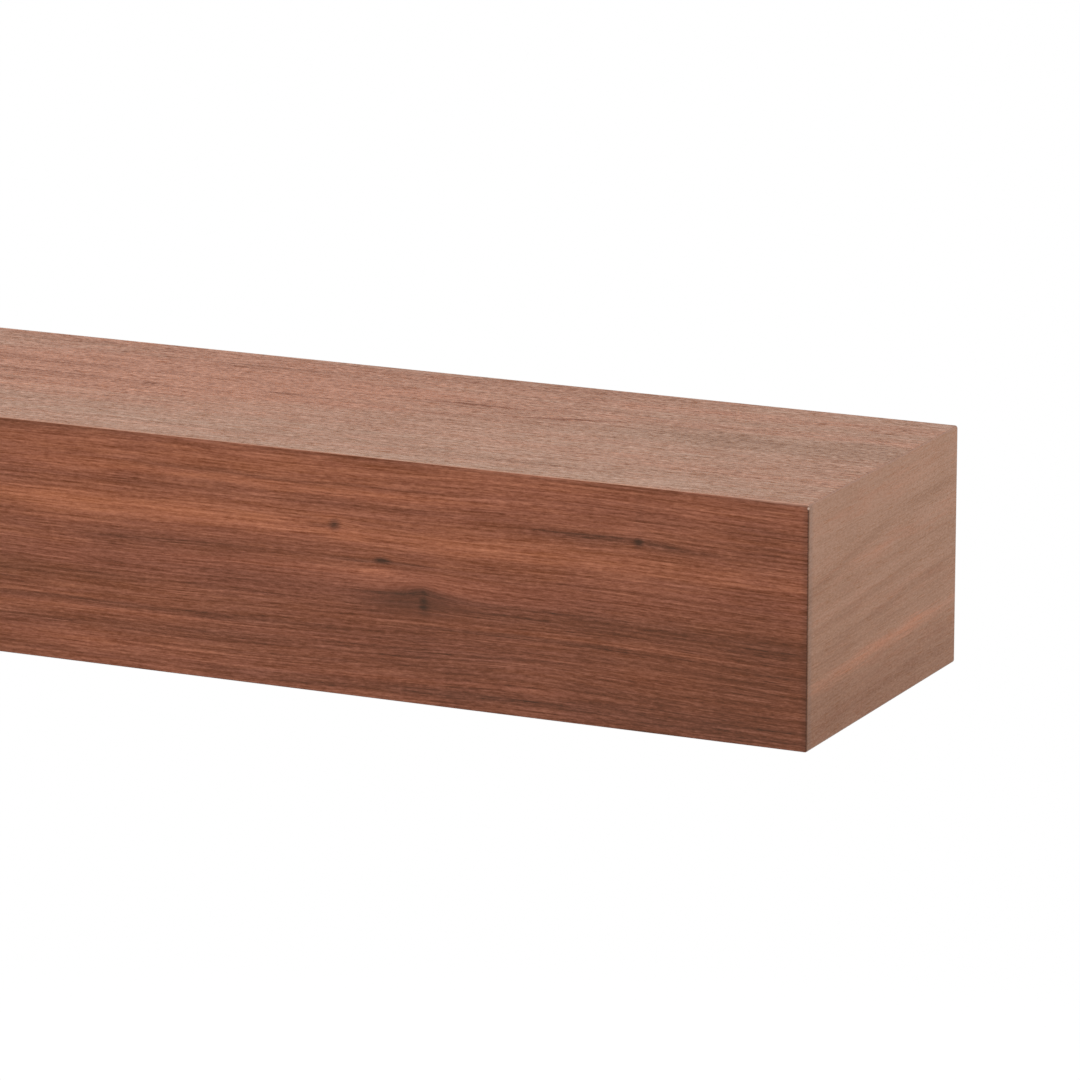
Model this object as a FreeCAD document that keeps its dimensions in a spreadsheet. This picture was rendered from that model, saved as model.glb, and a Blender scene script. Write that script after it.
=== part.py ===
import FreeCAD, Part
import os
import re
import Sketcher

# A floating wall shelf: a hollow veneered box with mitred corners that slides over a hidden rod bracket.
# Millimetres. X runs along the shelf, -Y points into the room, +Z is up. The origin is on the wall,
# at the middle of the bracket's back face.

SIZES = {
    # Box
    "shelf_length": "900",
    "shelf_depth": "200",
    "shelf_height": "130",
    "veneer_thickness": "0.6",
    "core_thickness": "11.4",
    "arris_radius": "1.2",
    "corner_rounding": "0.3",
    # Frame inside the box
    "rail_depth": "18",
    "batten_width": "18",
    "block_width": "45",
    "dowel_diameter": "6",
    "dowel_length": "24",
    "dowel_cover": "3.4",
    "glue_gap": "0.1",
    # Wall bracket
    "plate_height": "50",
    "plate_thickness": "5",
    "plate_corner_radius": "6",
    "plate_gap": "3",
    "plate_end_gap": "28",
    "rod_diameter": "16",
    "rod_end_inset": "90",
    "rod_tip_gap": "28",
    "rod_nose": "2",
    "rod_clearance": "0.25",
    "spigot_diameter": "12",
    "weld_leg": "4",
    # Screw holes in the wall plate
    "hole_diameter": "6.5",
    "hole_edge": "12",
    "hole_end_inset": "20",
    "countersink_depth": "2.5",
    "slot_spacing": "406",
    "slot_length": "20",
    # Lock screws and their threaded inserts
    "lock_diameter": "8",
    "lock_clearance": "0.1",
    "lock_setback": "60",
    "lock_recess": "7",
    "lock_tip_gap": "0.3",
    "lock_hole_gap": "0.5",
    "lock_chamfer": "1.25",
    "socket_size": "4",
    "socket_depth": "6",
    "insert_wall": "1.4",
    "insert_length": "18",
    "flange_width": "2.5",
    "flange_thickness": "1.5",
}

# Places and sizes that follow from the sizes above
DERIVED = {
    "half_length": "(shelf_length / 2)",
    "half_height": "(shelf_height / 2)",
    "wall": "(veneer_thickness + core_thickness)",
    "inner_half_length": "(half_length - wall)",
    "inner_half_height": "(half_height - wall)",
    "inner_depth": "(shelf_depth - wall)",
    "rail_foot": "(plate_height / 2 + plate_gap)",
    "rail_height": "(inner_half_height - rail_foot)",
    "batten_back": "(inner_depth - batten_width)",
    "batten_foot": "(inner_half_height - batten_width)",
    "dowel_in_rail": "(dowel_length - core_thickness + dowel_cover)",
    "plate_half_length": "(inner_half_length - plate_end_gap)",
    "outer_rod": "(half_length - rod_end_inset)",
    "rod_tip": "(inner_depth - rod_tip_gap)",
    "rod_radius": "(rod_diameter / 2)",
    "hole_row": "(plate_height / 2 - hole_edge)",
    "hole_column": "(plate_half_length - hole_end_inset)",
    "lock_radius": "(lock_diameter / 2)",
    "lock_length": "(half_height - rod_radius - lock_tip_gap - lock_recess)",
    "insert_bore_radius": "(lock_radius + lock_clearance)",
    "insert_radius": "(insert_bore_radius + insert_wall)",
    "flange_radius": "(insert_radius + flange_width)",
}

# Rods along the shelf, as shares of the outer rod's distance from the middle
ROD_PLACES = {"outer_left": "-1", "inner_left": "-1/3", "inner_right": "1/3", "outer_right": "1"}
LOCK_PLACES = {"left": "-1", "right": "1"}

X_AXIS = FreeCAD.Vector(1, 0, 0)
Y_AXIS = FreeCAD.Vector(0, 1, 0)
Z_AXIS = FreeCAD.Vector(0, 0, 1)
QUARTER_TURN = 90
FULL_TURN = 360
HEXAGON = 6

# A sketch's origin is the start of its X axis; a line has a start and an end, and a circle a centre
SKETCH_X_AXIS = -1
START = 1
END = 2
CENTRE = 3

# Turns a piece whose own Z is the way out of the wall, so that it points into the room along -Y
OUT_OF_WALL = FreeCAD.Rotation(X_AXIS, QUARTER_TURN)

doc = FreeCAD.newDocument("floating_wall_shelf")
sheet = doc.addObject("Spreadsheet::Sheet", "Sizes")
for row, (size_name, size_text) in enumerate(SIZES.items(), start=1):
    sheet.set(f"A{row}", size_name.replace("_", " "))
    sheet.set(f"B{row}", size_text)
    sheet.setAlias(f"B{row}", size_name)
doc.recompute()

nodes = []


def formula(text):
    """Spell a formula of size names out as an expression on the sheet's cells."""
    def cell(match):
        word = match.group()
        if word in DERIVED:
            return formula(DERIVED[word])
        if word in SIZES:
            return f"Sizes.{word}"
        return word
    return re.sub(r"[a-z_]+", cell, text)


def value(text):
    """Work a formula out as a number."""
    return float(sheet.evalExpression(formula(text)))


def bind(thing, **formulas):
    for name, text in formulas.items():
        thing.setExpression(name, formula(text))


def place(thing, x="0", y="0", z="0", rotation=None):
    if rotation is not None:
        thing.Placement.Rotation = rotation
    for axis, text in zip("xyz", (x, y, z)):
        thing.setExpression(f"Placement.Base.{axis}", formula(text))


def keep(thing, label):
    """Hand a finished piece in as a node of its own."""
    thing.Label = label
    nodes.append(thing)
    return thing


def box(name, x_low, x_high, y_low, y_high, z_low, z_high):
    block = doc.addObject("Part::Box", name)
    bind(block, Length=f"{x_high} - ({x_low})", Width=f"{y_high} - ({y_low})", Height=f"{z_high} - ({z_low})")
    place(block, x_low, y_low, z_low)
    return block


def cylinder(name, radius, length, x, y, z, rotation=None):
    post = doc.addObject("Part::Cylinder", name)
    bind(post, Radius=radius, Height=length)
    place(post, x, y, z, rotation)
    return post


def compound(name, members):
    group = doc.addObject("Part::Compound", name)
    group.Links = members
    return group


def cut(name, base, tool):
    result = doc.addObject("Part::Cut", name)
    result.Base = base
    result.Tool = tool
    return result


def common(name, base, tool):
    result = doc.addObject("Part::Common", name)
    result.Base = base
    result.Tool = tool
    return result


def new_body(name):
    return doc.addObject("PartDesign::Body", name)


def sketch_on(body, plane_role, name):
    sketch = body.newObject("Sketcher::SketchObject", name)
    plane = next(item for item in body.Origin.OriginFeatures if item.Role == plane_role)
    sketch.AttachmentSupport = [(plane, "")]
    sketch.MapMode = "FlatFace"
    return sketch


def pin(sketch, geometry, point, x, y):
    """Fix a sketch point at a place given by two formulas."""
    origin = (SKETCH_X_AXIS, START)
    for kind, text in (("DistanceX", x), ("DistanceY", y)):
        index = sketch.addConstraint(Sketcher.Constraint(kind, *origin, geometry, point, value(text)))
        sketch.setExpression(f"Constraints[{index}]", formula(text))


def size_radius(sketch, geometry, radius):
    index = sketch.addConstraint(Sketcher.Constraint("Radius", geometry, value(radius)))
    sketch.setExpression(f"Constraints[{index}]", formula(radius))


def outline(sketch, corners):
    """Draw a closed outline of straight lines through corners given as pairs of formulas."""
    points = [FreeCAD.Vector(value(x), value(y), 0) for x, y in corners]
    following = points[1:] + points[:1]
    lines = [sketch.addGeometry(Part.LineSegment(a, b)) for a, b in zip(points, following)]
    for line, next_line in zip(lines, lines[1:] + lines[:1]):
        sketch.addConstraint(Sketcher.Constraint("Coincident", line, END, next_line, START))
    for line, (x, y) in zip(lines, corners):
        pin(sketch, line, START, x, y)


def rectangle(sketch, half_width, half_tall):
    corners = [("-", "-"), ("", "-"), ("", ""), ("-", "")]
    outline(sketch, [(f"{a}{half_width}", f"{b}{half_tall}") for a, b in corners])


def circle(sketch, x, y, radius):
    centre = FreeCAD.Vector(value(x), value(y), 0)
    ring = sketch.addGeometry(Part.Circle(centre, Z_AXIS, value(radius)))
    pin(sketch, ring, CENTRE, x, y)
    size_radius(sketch, ring, radius)


def slot(sketch, x, y, length, radius):
    """Draw a slot along the sketch's X axis: two half circles joined by two lines."""
    reach = f"({length} / 2 - {radius})"
    centres = [FreeCAD.Vector(value(f"{x} {sign} {reach}"), value(y), 0) for sign in "-+"]
    up = FreeCAD.Vector(0, value(radius), 0)
    out = FreeCAD.Vector(value(radius), 0, 0)
    left_arc = Part.Arc(centres[0] + up, centres[0] - out, centres[0] - up)
    right_arc = Part.Arc(centres[1] - up, centres[1] + out, centres[1] + up)
    low_line = Part.LineSegment(centres[0] - up, centres[1] - up)
    high_line = Part.LineSegment(centres[1] + up, centres[0] + up)
    loop = [sketch.addGeometry(edge) for edge in (left_arc, low_line, right_arc, high_line)]
    for edge, next_edge in zip(loop, loop[1:] + loop[:1]):
        sketch.addConstraint(Sketcher.Constraint("Tangent", edge, END, next_edge, START))
    pin(sketch, loop[0], CENTRE, f"{x} - {reach}", y)
    index = sketch.addConstraint(
        Sketcher.Constraint("DistanceX", loop[0], CENTRE, loop[2], CENTRE, value(f"2 * {reach}")))
    sketch.setExpression(f"Constraints[{index}]", formula(f"2 * {reach}"))
    size_radius(sketch, loop[0], radius)


def pad(body, sketch, name, length):
    feature = body.newObject("PartDesign::Pad", name)
    feature.Profile = sketch
    bind(feature, Length=length)
    doc.recompute()
    return feature


def pocket(body, sketch, name, depth):
    """Cut a sketch into the piece, upwards along the sketch's own normal."""
    before = body.Shape.Volume
    feature = body.newObject("PartDesign::Pocket", name)
    feature.Profile = sketch
    feature.Reversed = True
    bind(feature, Length=depth)
    doc.recompute()
    assert body.Shape.Volume < before, f"{name} cuts nothing"
    return feature


def turned(name, profile):
    """Turn a body about its own Z axis from a profile of radius and height formulas."""
    body = new_body(name)
    sketch = sketch_on(body, "XZ_Plane", f"{name}_profile")
    outline(sketch, profile)
    feature = body.newObject("PartDesign::Revolution", f"{name}_turn")
    feature.Profile = sketch
    feature.ReferenceAxis = (sketch, ["V_Axis"])
    feature.Angle = FULL_TURN
    return body


def edges_where(feature, wanted):
    """Name the edges of a feature that a test picks out."""
    return [f"Edge{i}" for i, edge in enumerate(feature.Shape.Edges, start=1) if wanted(edge)]


def along_z(edge):
    """Tell whether an edge runs along its piece's own Z axis."""
    return edge.BoundBox.ZLength > edge.BoundBox.DiagonalLength / 2


def fillet(body, base, name, edges, radius):
    feature = body.newObject("PartDesign::Fillet", name)
    feature.Base = (base, edges)
    bind(feature, Radius=radius)
    doc.recompute()
    return feature


def eased_block():
    """The box's outside as one block, with every arris eased but those against the wall.

    The four arrises that run out from the wall are a little rounder than those round the front,
    so the front face keeps a small arc at each corner and the rounding there comes to no point.
    """
    body = new_body("eased_block")
    sketch = sketch_on(body, "XY_Plane", "eased_block_outline")
    rectangle(sketch, "half_length", "half_height")
    block = pad(body, sketch, "eased_block_pad", "shelf_depth")

    def round_front(edge):
        return edge.CenterOfMass.z > value("shelf_depth - arris_radius")

    off_wall = fillet(
        body, block, "eased_block_corners", edges_where(block, along_z), "arris_radius + corner_rounding")
    fillet(body, off_wall, "eased_block_front", edges_where(off_wall, round_front), "arris_radius")
    place(body, rotation=OUT_OF_WALL)
    return body


# Each side of the box, seen along its own inward Y axis: the reach of its outer face, its limits in X and Z,
# and the turn that sets it in place. A limit at the wall, 0, is square and every other one is mitred.
SIDES = {
    "front": ("shelf_depth", ("-half_length", "half_length"), ("-half_height", "half_height"),
              FreeCAD.Rotation()),
    "top": ("half_height", ("-half_length", "half_length"), ("-shelf_depth", "0"),
            FreeCAD.Rotation(X_AXIS, -QUARTER_TURN)),
    "bottom": ("half_height", ("-half_length", "half_length"), ("0", "shelf_depth"),
               FreeCAD.Rotation(X_AXIS, QUARTER_TURN)),
    "left_end": ("half_length", ("0", "shelf_depth"), ("-half_height", "half_height"),
                 FreeCAD.Rotation(Z_AXIS, -QUARTER_TURN)),
    "right_end": ("half_length", ("-shelf_depth", "0"), ("-half_height", "half_height"),
                  FreeCAD.Rotation(Z_AXIS, QUARTER_TURN)),
}


def drawn_in(limit, depth):
    """Draw a limit of the box's outside in by a depth."""
    if limit == "0":
        return limit
    sign = "+" if limit.startswith("-") else "-"
    return f"{limit} {sign} ({depth})"


def mitred_panel(name, side, outer, inner, block):
    """A panel between two depths below the box's outside, mitred where it meets its neighbours."""
    reach, x_limits, z_limits, turn = SIDES[side]
    wedge = doc.addObject("Part::Wedge", f"{name}_wedge")
    bind(wedge, Ymin=f"{outer} - {reach}", Ymax=f"{inner} - {reach}")
    for axis, limits in (("X", x_limits), ("Z", z_limits)):
        for end, limit in zip(("min", "max"), limits):
            wedge.setExpression(f"{axis}{end}", formula(drawn_in(limit, outer)))
            wedge.setExpression(f"{axis}2{end}", formula(drawn_in(limit, inner)))
    wedge.Placement.Rotation = turn
    return common(name, block, wedge)


def levels(foot):
    """Heights of an upper piece, from its foot to the top board, and of the lower one that mirrors it."""
    return {"upper": (foot, "inner_half_height"), "lower": ("-inner_half_height", f"-{foot}")}


def dowel_set(name, room):
    """Eight dowels, or the bores that take them, between the end boards and the rails and battens."""
    members = []
    rows = {
        "back": ("-rail_depth / 2", "rail_foot + rail_height / 2"),
        "front": ("-(batten_back + batten_width / 2)", "batten_foot + batten_width / 2"),
    }
    radius = f"dowel_diameter / 2 + {room}"
    for row_name, (y, z) in rows.items():
        for level, z_sign in (("upper", "1"), ("lower", "-1")):
            for end, turn, x_sign in (("left", -QUARTER_TURN, "-1"), ("right", QUARTER_TURN, "1")):
                rotation = FreeCAD.Rotation(Y_AXIS, turn)
                start = f"{x_sign} * (inner_half_length - dowel_in_rail)"
                members.append(cylinder(
                    f"{name}_{row_name}_{level}_{end}", radius, "dowel_length",
                    start, y, f"{z_sign} * ({z})", rotation))
    return compound(name, members)


def lock_bore(side):
    """The stepped hole up from the underside that takes an insert, its flange and its lock screw."""
    x = f"{LOCK_PLACES[side]} * outer_rod"
    steps = {
        "flange": ("flange_radius + glue_gap", "flange_thickness"),
        "insert": ("insert_radius + glue_gap", "insert_length"),
        "screw": ("lock_radius + lock_hole_gap", "half_height"),
    }
    members = [
        cylinder(f"{side}_{step}_bore", radius, length, x, "-lock_setback", "-half_height")
        for step, (radius, length) in steps.items()]
    bore = doc.addObject("Part::MultiFuse", f"{side}_lock_bore")
    bore.Shapes = members
    return bore


def rod_block(name, share):
    """A block bored right through for a rod, which also braces the top and bottom boards."""
    body = new_body(f"{name}_body")
    sketch = sketch_on(body, "XY_Plane", f"{name}_section")
    rectangle(sketch, "block_width / 2", "inner_half_height")
    circle(sketch, "0", "0", "rod_radius + rod_clearance")
    pad(body, sketch, f"{name}_pad", "batten_back - rail_depth")
    place(body, f"{share} * outer_rod", "-rail_depth", "0", OUT_OF_WALL)
    return body


def wall_plate():
    """The steel plate screwed to the wall, with rod holes, countersunk end holes and stud slots."""
    body = new_body("wall_plate_body")
    blank = sketch_on(body, "XY_Plane", "plate_blank")
    rectangle(blank, "plate_half_length", "plate_height / 2")
    plate = pad(body, blank, "plate_pad", "plate_thickness")
    fillet(body, plate, "plate_corners", edges_where(plate, along_z), "plate_corner_radius")

    rod_holes = sketch_on(body, "XY_Plane", "plate_rod_holes")
    for share in ROD_PLACES.values():
        circle(rod_holes, f"{share} * outer_rod", "0", "spigot_diameter / 2")
    pocket(body, rod_holes, "plate_rod_pocket", "plate_thickness")

    slots = sketch_on(body, "XY_Plane", "plate_stud_slots")
    end_holes = sketch_on(body, "XY_Plane", "plate_end_holes")
    for x_sign in ("-1", "1"):
        for row_sign in ("-1", "1"):
            row = f"{row_sign} * hole_row"
            slot(slots, f"{x_sign} * slot_spacing / 2", row, "slot_length", "hole_diameter / 2")
            circle(end_holes, f"{x_sign} * hole_column", row, "hole_diameter / 2")
    pocket(body, slots, "plate_slot_pocket", "plate_thickness")
    drilled = pocket(body, end_holes, "plate_hole_pocket", "plate_thickness")

    def front_rim(edge):
        round_edge = isinstance(edge.Curve, Part.Circle) and edge.isClosed()
        on_front = edge.CenterOfMass.z > value("plate_thickness / 2")
        return round_edge and on_front and abs(edge.CenterOfMass.y) > value("hole_row / 2")

    countersinks = body.newObject("PartDesign::Chamfer", "plate_countersinks")
    countersinks.Base = (drilled, edges_where(drilled, front_rim))
    bind(countersinks, Size="countersink_depth")
    place(body, rotation=OUT_OF_WALL)
    return body


def rod(name, share):
    """A steel rod with a spigot through the plate and a chamfered nose."""
    body = turned(f"{name}_body", [
        ("0", "0"), ("spigot_diameter / 2", "0"), ("spigot_diameter / 2", "plate_thickness"),
        ("rod_radius", "plate_thickness"), ("rod_radius", "rod_tip - rod_nose"),
        ("rod_radius - rod_nose", "rod_tip"), ("0", "rod_tip")])
    place(body, f"{share} * outer_rod", "0", "0", OUT_OF_WALL)
    return body


def weld(name, share):
    """A fillet weld round the foot of a rod."""
    body = turned(f"{name}_weld", [
        ("rod_radius", "plate_thickness"), ("rod_radius + weld_leg", "plate_thickness"),
        ("rod_radius", "plate_thickness + weld_leg")])
    place(body, f"{share} * outer_rod", "0", "0", OUT_OF_WALL)
    return body


def lock_insert(side):
    """A flanged threaded insert, flush with the underside."""
    body = turned(f"{side}_insert_body", [
        ("insert_bore_radius", "0"), ("flange_radius", "0"), ("flange_radius", "flange_thickness"),
        ("insert_radius", "flange_thickness"), ("insert_radius", "insert_length"),
        ("insert_bore_radius", "insert_length")])
    place(body, f"{LOCK_PLACES[side]} * outer_rod", "-lock_setback", "-half_height")
    return body


def lock_screw(side):
    """A headless screw with a hexagon socket below and a flat point just under the rod."""
    body = turned(f"{side}_screw_body", [
        ("0", "0"), ("lock_radius", "0"), ("lock_radius", "lock_length - lock_chamfer"),
        ("lock_radius - lock_chamfer", "lock_length"), ("0", "lock_length")])
    doc.recompute()
    socket = sketch_on(body, "XY_Plane", f"{side}_screw_socket")
    corner = "socket_size / sqrt(3)"
    angles = [f"{FULL_TURN // HEXAGON * i} deg" for i in range(HEXAGON)]
    outline(socket, [(f"{corner} * cos({angle})", f"{corner} * sin({angle})") for angle in angles])
    pocket(body, socket, f"{side}_screw_pocket", "socket_depth")
    place(body, f"{LOCK_PLACES[side]} * outer_rod", "-lock_setback", "lock_recess - half_height")
    return body


# Cutters shared by the pieces that they pass through
block_outside = eased_block()
dowel_bores = dowel_set("dowel_bores", "glue_gap")
lock_bores = {side: lock_bore(side) for side in LOCK_PLACES}
both_lock_bores = compound("both_lock_bores", list(lock_bores.values()))

# Boards and veneers of the box
for side in SIDES:
    board = mitred_panel(f"{side}_core", side, "veneer_thickness", "wall", block_outside)
    veneer = mitred_panel(f"{side}_skin", side, "0", "veneer_thickness", block_outside)
    if side == "bottom":
        board = cut("bottom_core_bored", board, both_lock_bores)
        veneer = cut("bottom_skin_bored", veneer, both_lock_bores)
    elif side.endswith("end"):
        board = cut(f"{side}_core_bored", board, dowel_bores)
    keep(board, f"{side}_board")
    keep(veneer, f"{side}_veneer")

# Frame inside the box
for level, (z_low, z_high) in levels("rail_foot").items():
    rail = box(f"{level}_rail", "-inner_half_length", "inner_half_length", "-rail_depth", "0", z_low, z_high)
    keep(cut(f"{level}_rail_bored", rail, dowel_bores), f"{level}_back_rail")

for level, (z_low, z_high) in levels("batten_foot").items():
    batten = box(f"{level}_batten", "-inner_half_length", "inner_half_length",
                 "-inner_depth", "-batten_back", z_low, z_high)
    keep(cut(f"{level}_batten_bored", batten, dowel_bores), f"{level}_front_batten")

for side, x_low, x_high in (
        ("left", "-inner_half_length", "batten_width - inner_half_length"),
        ("right", "inner_half_length - batten_width", "inner_half_length")):
    upright = box(f"{side}_upright", x_low, x_high, "-inner_depth", "-batten_back",
                  "-batten_foot", "batten_foot")
    keep(upright, f"{side}_corner_block")

keep(dowel_set("dowels", "0"), "end_dowels")

# Rod blocks, with the outer two bored up from below for the lock screws
for rod_name, rod_share in ROD_PLACES.items():
    block = rod_block(f"{rod_name}_block", rod_share)
    position, side = rod_name.split("_")
    if position == "outer":
        block = cut(f"{rod_name}_block_bored", block, lock_bores[side])
    keep(block, f"{rod_name}_rod_block")

# Lock screws and inserts
for side in LOCK_PLACES:
    keep(lock_insert(side), f"{side}_lock_insert")
    keep(lock_screw(side), f"{side}_lock_screw")

# Wall bracket
keep(wall_plate(), "wall_plate")
for rod_name, rod_share in ROD_PLACES.items():
    keep(rod(f"{rod_name}_rod", rod_share), f"{rod_name}_rod")
keep(compound("welds", [weld(name, share) for name, share in ROD_PLACES.items()]), "rod_welds")

doc.recompute()

for thing in doc.Objects:
    assert not {"Invalid", "Error"} & set(thing.State), f"{thing.Label} failed: {thing.State}"
for node in nodes:
    assert not node.Shape.isNull() and node.Shape.isValid(), f"{node.Label} has no valid shape"
    assert node.Shape.Solids, f"{node.Label} has no solid"

os.makedirs("parts", exist_ok=True)
for node in nodes:
    node.Shape.exportStep(f"parts/{node.Label}.step")
    print(node.Label, len(node.Shape.Solids), "solids", round(node.Shape.Volume / 1000, 3), "cm3")
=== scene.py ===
"""Looks of the floating wall shelf: satin walnut veneer outside, board, pine and coated steel inside."""
import math
import random
from collections import namedtuple
import bmesh
import bpy
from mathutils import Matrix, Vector


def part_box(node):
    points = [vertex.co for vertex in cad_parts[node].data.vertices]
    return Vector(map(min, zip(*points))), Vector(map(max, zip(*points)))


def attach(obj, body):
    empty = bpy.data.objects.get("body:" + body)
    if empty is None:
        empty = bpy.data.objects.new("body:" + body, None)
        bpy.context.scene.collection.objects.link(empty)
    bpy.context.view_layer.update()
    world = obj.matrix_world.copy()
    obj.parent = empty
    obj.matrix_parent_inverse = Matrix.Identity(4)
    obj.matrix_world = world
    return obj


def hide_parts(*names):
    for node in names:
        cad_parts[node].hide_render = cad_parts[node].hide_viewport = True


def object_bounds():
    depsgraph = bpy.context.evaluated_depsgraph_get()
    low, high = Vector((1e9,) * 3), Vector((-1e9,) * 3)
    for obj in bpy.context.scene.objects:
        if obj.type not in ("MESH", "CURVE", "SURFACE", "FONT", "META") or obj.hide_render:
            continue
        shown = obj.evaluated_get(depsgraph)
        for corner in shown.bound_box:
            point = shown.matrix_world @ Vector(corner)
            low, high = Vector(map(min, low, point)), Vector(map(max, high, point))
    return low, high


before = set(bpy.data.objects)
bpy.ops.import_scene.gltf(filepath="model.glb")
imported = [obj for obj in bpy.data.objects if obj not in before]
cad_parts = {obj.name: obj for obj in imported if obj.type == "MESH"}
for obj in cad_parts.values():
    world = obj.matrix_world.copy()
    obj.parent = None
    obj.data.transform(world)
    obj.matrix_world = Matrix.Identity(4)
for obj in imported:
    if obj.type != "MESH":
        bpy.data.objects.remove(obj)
cad_low, cad_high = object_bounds()

MM = 0.001
FULL_TURN = 2 * math.pi

# The shelf's outside, in millimetres, as the grain is placed on it
HALF_LENGTH = cad_high.x / MM
DEPTH = -cad_low.y / MM
HALF_HEIGHT = cad_high.z / MM

# Where the bracket's rods are, and the angle in degrees from which an edge of a mesh is sharp
ROD_PLACES = ("outer_left", "inner_left", "inner_right", "outer_right")
SHARP_ANGLE = 35

# Lock screws, in metres: depth, crest and root are shares of the pitch, the bevel is one of the chamfer
THREAD_PITCH = 1.25 * MM
THREAD_DEPTH = 0.613
CREST_SHARE = 0.125
ROOT_SHARE = 0.25
THREAD_ROWS = 6
SCREW_SEGMENTS = 36
SOCKET_FLAT = 2.0 * MM
SOCKET_DEPTH = 6.0 * MM
SOCKET_BEVEL = 0.3
POINT_CHAMFER = 1.25 * MM

# Weld beads: crown and ripple are shares of the weld's leg, the lean is one of a pool's width
BEAD_SEGMENTS = 156
BEAD_STEPS = 7
BEAD_POOLS = 26
BEAD_CROWN = 0.10
BEAD_RIPPLE = 0.06
RIPPLE_SPREAD = (0.7, 1.3)
POOL_LEAN = 0.6

# The photograph's camera, fitted to the edges of the shelf, in pixels, degrees and metres
IMAGE_SIZE = 1080
VIEW_AZIMUTH = 25.44
VIEW_ELEVATION = 13.80
FOCAL_PIXELS = 6644
CORNER_PIXEL = (809.1, 505.0)
CORNER_DISTANCE = 3.352
SENSOR_WIDTH = 36

# The studio: the floor lies far enough down to be out of the photograph's view
FLOOR_LEVEL = -1.2
FLOOR_RADIUS = 3.0
FLOOR_FADE_START = 0.5 * FLOOR_RADIUS
FLOOR_SEGMENTS = 96
FLOOR_GREY = 224
AMBIENT = 0.85
SUN_FROM = (0.51, -0.21, 0.83)
SUN_STRENGTH = 2.2
SUN_WIDTH = 70


class Graph:
    """A node tree, filled in by short calls that each return an output socket."""

    def __init__(self, owner):
        owner.use_nodes = True
        self.tree = owner.node_tree
        self.tree.nodes.clear()

    def node(self, kind, inputs=(), **settings):
        """A new node of that kind; its inputs are given by name or number."""
        made = self.tree.nodes.new("ShaderNode" + kind)
        for name, value in settings.items():
            setattr(made, name, value)
        for place, value in dict(inputs).items():
            self.plug(made.inputs[place], value)
        return made

    def plug(self, socket, value):
        """Link an output to that input, or write a plain value into it."""
        if isinstance(value, bpy.types.NodeSocket):
            self.tree.links.new(value, socket)
        else:
            socket.default_value = value

    def math(self, operation, *values):
        return self.node("Math", enumerate(values), operation=operation).outputs[0]

    def vector(self, operation, *values):
        made = self.node("VectorMath", enumerate(values), operation=operation)
        return made.outputs["Value" if operation == "LENGTH" else "Vector"]

    def combine(self, *values):
        return self.node("CombineXYZ", enumerate(values)).outputs[0]

    def axes(self):
        """The piece's own coordinates in millimetres, by axis name."""
        coordinates = self.node("TexCoord").outputs["Object"]
        parts = self.node("SeparateXYZ", {0: self.vector("DIVIDE", coordinates, (MM, MM, MM))})
        return dict(zip("XYZ", parts.outputs))

    def noise(self, place, size, detail=0.0, roughness=0.5):
        """Noise about 0, mostly within half a unit, with features of that size in millimetres."""
        spot = self.vector("DIVIDE", place, size)
        inputs = {"Vector": spot, "Scale": 1.0, "Detail": detail, "Roughness": roughness}
        return self.math("MULTIPLY_ADD", self.node("TexNoise", inputs).outputs[0], 2, -1)

    def remap(self, value, low, high, to_low=0.0, to_high=1.0, kind="SMOOTHSTEP"):
        """A value that goes from to_low to to_high as the given one goes from low to high."""
        inputs = {"Value": value, "From Min": low, "From Max": high, "To Min": to_low, "To Max": to_high}
        return self.node("MapRange", inputs, interpolation_type=kind).outputs[0]

    def total(self, *parts):
        """The sum of (value, weight) pairs."""
        result = 0.0
        for value, weight in parts:
            result = self.math("MULTIPLY_ADD", value, weight, result)
        return result

    def spot(self, place, centre, half_size, tilt=0.0):
        """Distance from a centre on the grain, in half sizes of a tilted oval."""
        aside = self.vector("SUBTRACT", place, (*centre, 0))
        if tilt:
            inputs = {"Vector": aside, "Angle": -math.radians(tilt)}
            aside = self.node("VectorRotate", inputs, rotation_type="Z_AXIS").outputs[0]
        return self.vector("LENGTH", self.vector("DIVIDE", aside, (*half_size, 1)))

    def ramp(self, value, stops):
        """Colours by value from -1 to 1; a stop is (value, red, green, blue), its colour as for paint."""
        made = self.node("ValToRGB", {0: self.math("MULTIPLY_ADD", value, 0.5, 0.5)})
        elements = made.color_ramp.elements
        for index, (level, *colour) in enumerate(stops):
            position = 0.5 + 0.5 * level
            element = elements[index] if index < 2 else elements.new(position)
            element.position = position
            element.color = paint(*colour)
        return made.outputs[0]

    def mix(self, factor, first, second):
        """From the first colour to the second; a Mix node's colours are its inputs 6 and 7 and output 2."""
        made = self.node("Mix", {0: factor, 6: first, 7: second}, data_type="RGBA")
        return made.outputs[2]

    def surface(self, colour, roughness, height, **constants):
        """A shader with that bump height in millimetres; constants go to its own sockets."""
        bump = self.node("Bump", {"Height": height, "Distance": MM})
        inputs = {"Base Color": colour, "Roughness": roughness, "Normal": bump.outputs[0]}
        shader = self.node("BsdfPrincipled", inputs)
        for name, value in constants.items():
            shader.inputs[name].default_value = value
        self.show(shader.outputs[0])

    def show(self, shader, kind="OutputMaterial"):
        self.node(kind, {"Surface": shader})


def paint(*colour):
    """A colour written as the eye sees it, 0 to 255, in the linear light that shaders use."""
    levels = [part / 255 for part in colour]
    return (*[c / 12.92 if c <= 0.04045 else ((c + 0.055) / 1.055) ** 2.4 for c in levels], 1.0)


def new_graph(name):
    """A new material and the graph of its nodes."""
    material = bpy.data.materials.new(name)
    return material, Graph(material)


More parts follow.
